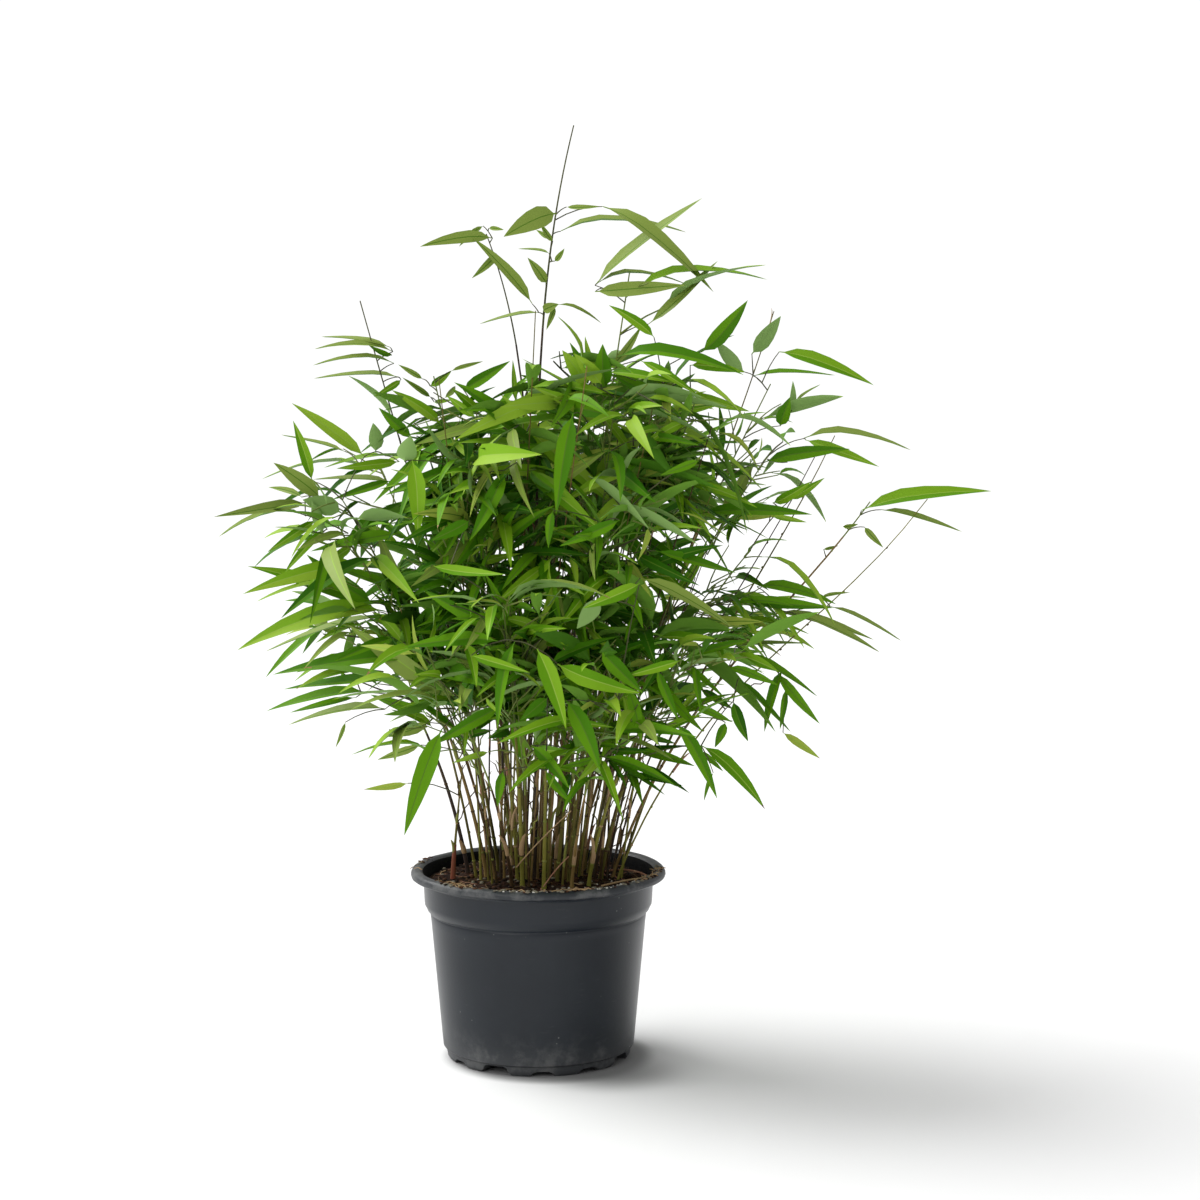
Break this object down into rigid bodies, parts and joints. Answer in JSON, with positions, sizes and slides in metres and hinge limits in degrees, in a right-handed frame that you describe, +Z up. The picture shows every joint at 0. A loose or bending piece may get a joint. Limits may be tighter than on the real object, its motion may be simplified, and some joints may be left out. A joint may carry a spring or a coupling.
{
  "type": "potted bamboo",
  "caption": "Clump-forming bamboo in a round black nursery pot: slender bare canes rise from a peat root ball and arch into a rounded head of long pointed green leaves.",
  "frame": {"origin": "centre of the pot's flat underside", "axes": "+Z up out of the pot; -Y is the side that faces the viewer, +X is to the viewer's right"},
  "size_m": [0.6366, 0.529, 0.818],
  "materials": {
    "black_plastic": "satin, scuffed and dusty",
    "peat": "matt, coarse and fibrous",
    "cane_skin": "satin, yellow-green to brown, with straw sheaths",
    "leaf_green": "satin leaf"
  },
  "bodies": {
    "root": {"pot": "black_plastic", "root_ball": "peat", "cane_01": "cane_skin", "cane_02": "cane_skin", "cane_03": "cane_skin", "cane_04": "cane_skin", "cane_05": "cane_skin", "cane_06": "cane_skin", "cane_07": "cane_skin", "cane_08": "cane_skin", "cane_09": "cane_skin", "cane_10": "cane_skin", "cane_11": "cane_skin", "cane_12": "cane_skin", "cane_13": "cane_skin", "cane_14": "cane_skin", "cane_15": "cane_skin", "cane_16": "cane_skin", "cane_17": "cane_skin", "cane_tall": "cane_skin", "cane_top_left": "cane_skin", "cane_top_right": "cane_skin", "cane_right_high": "cane_skin", "cane_right_far": "cane_skin", "cane_left_high": "cane_skin", "cane_front_left": "cane_skin", "cane_front_right": "cane_skin", "cane_bare_left": "cane_skin", "cane_bare_right": "cane_skin", "cane_bare_far_right": "cane_skin", "cane_bare_red": "cane_skin", "cane_bare_front": "cane_skin", "leaves_01": "leaf_green", "leaves_02": "leaf_green", "leaves_03": "leaf_green", "leaves_04": "leaf_green", "leaves_05": "leaf_green", "leaves_06": "leaf_green", "leaves_07": "leaf_green", "leaves_08": "leaf_green", "leaves_09": "leaf_green", "leaves_10": "leaf_green", "leaves_11": "leaf_green", "leaves_12": "leaf_green", "leaves_13": "leaf_green", "leaves_14": "leaf_green", "leaves_15": "leaf_green", "leaves_16": "leaf_green", "leaves_17": "leaf_green", "leaves_tall": "leaf_green", "leaves_top_left": "leaf_green", "leaves_top_right": "leaf_green", "leaves_right_high": "leaf_green", "leaves_right_far": "leaf_green", "leaves_left_high": "leaf_green", "leaves_front_left": "leaf_green", "leaves_front_right": "leaf_green"}
  },
  "joints": []
}
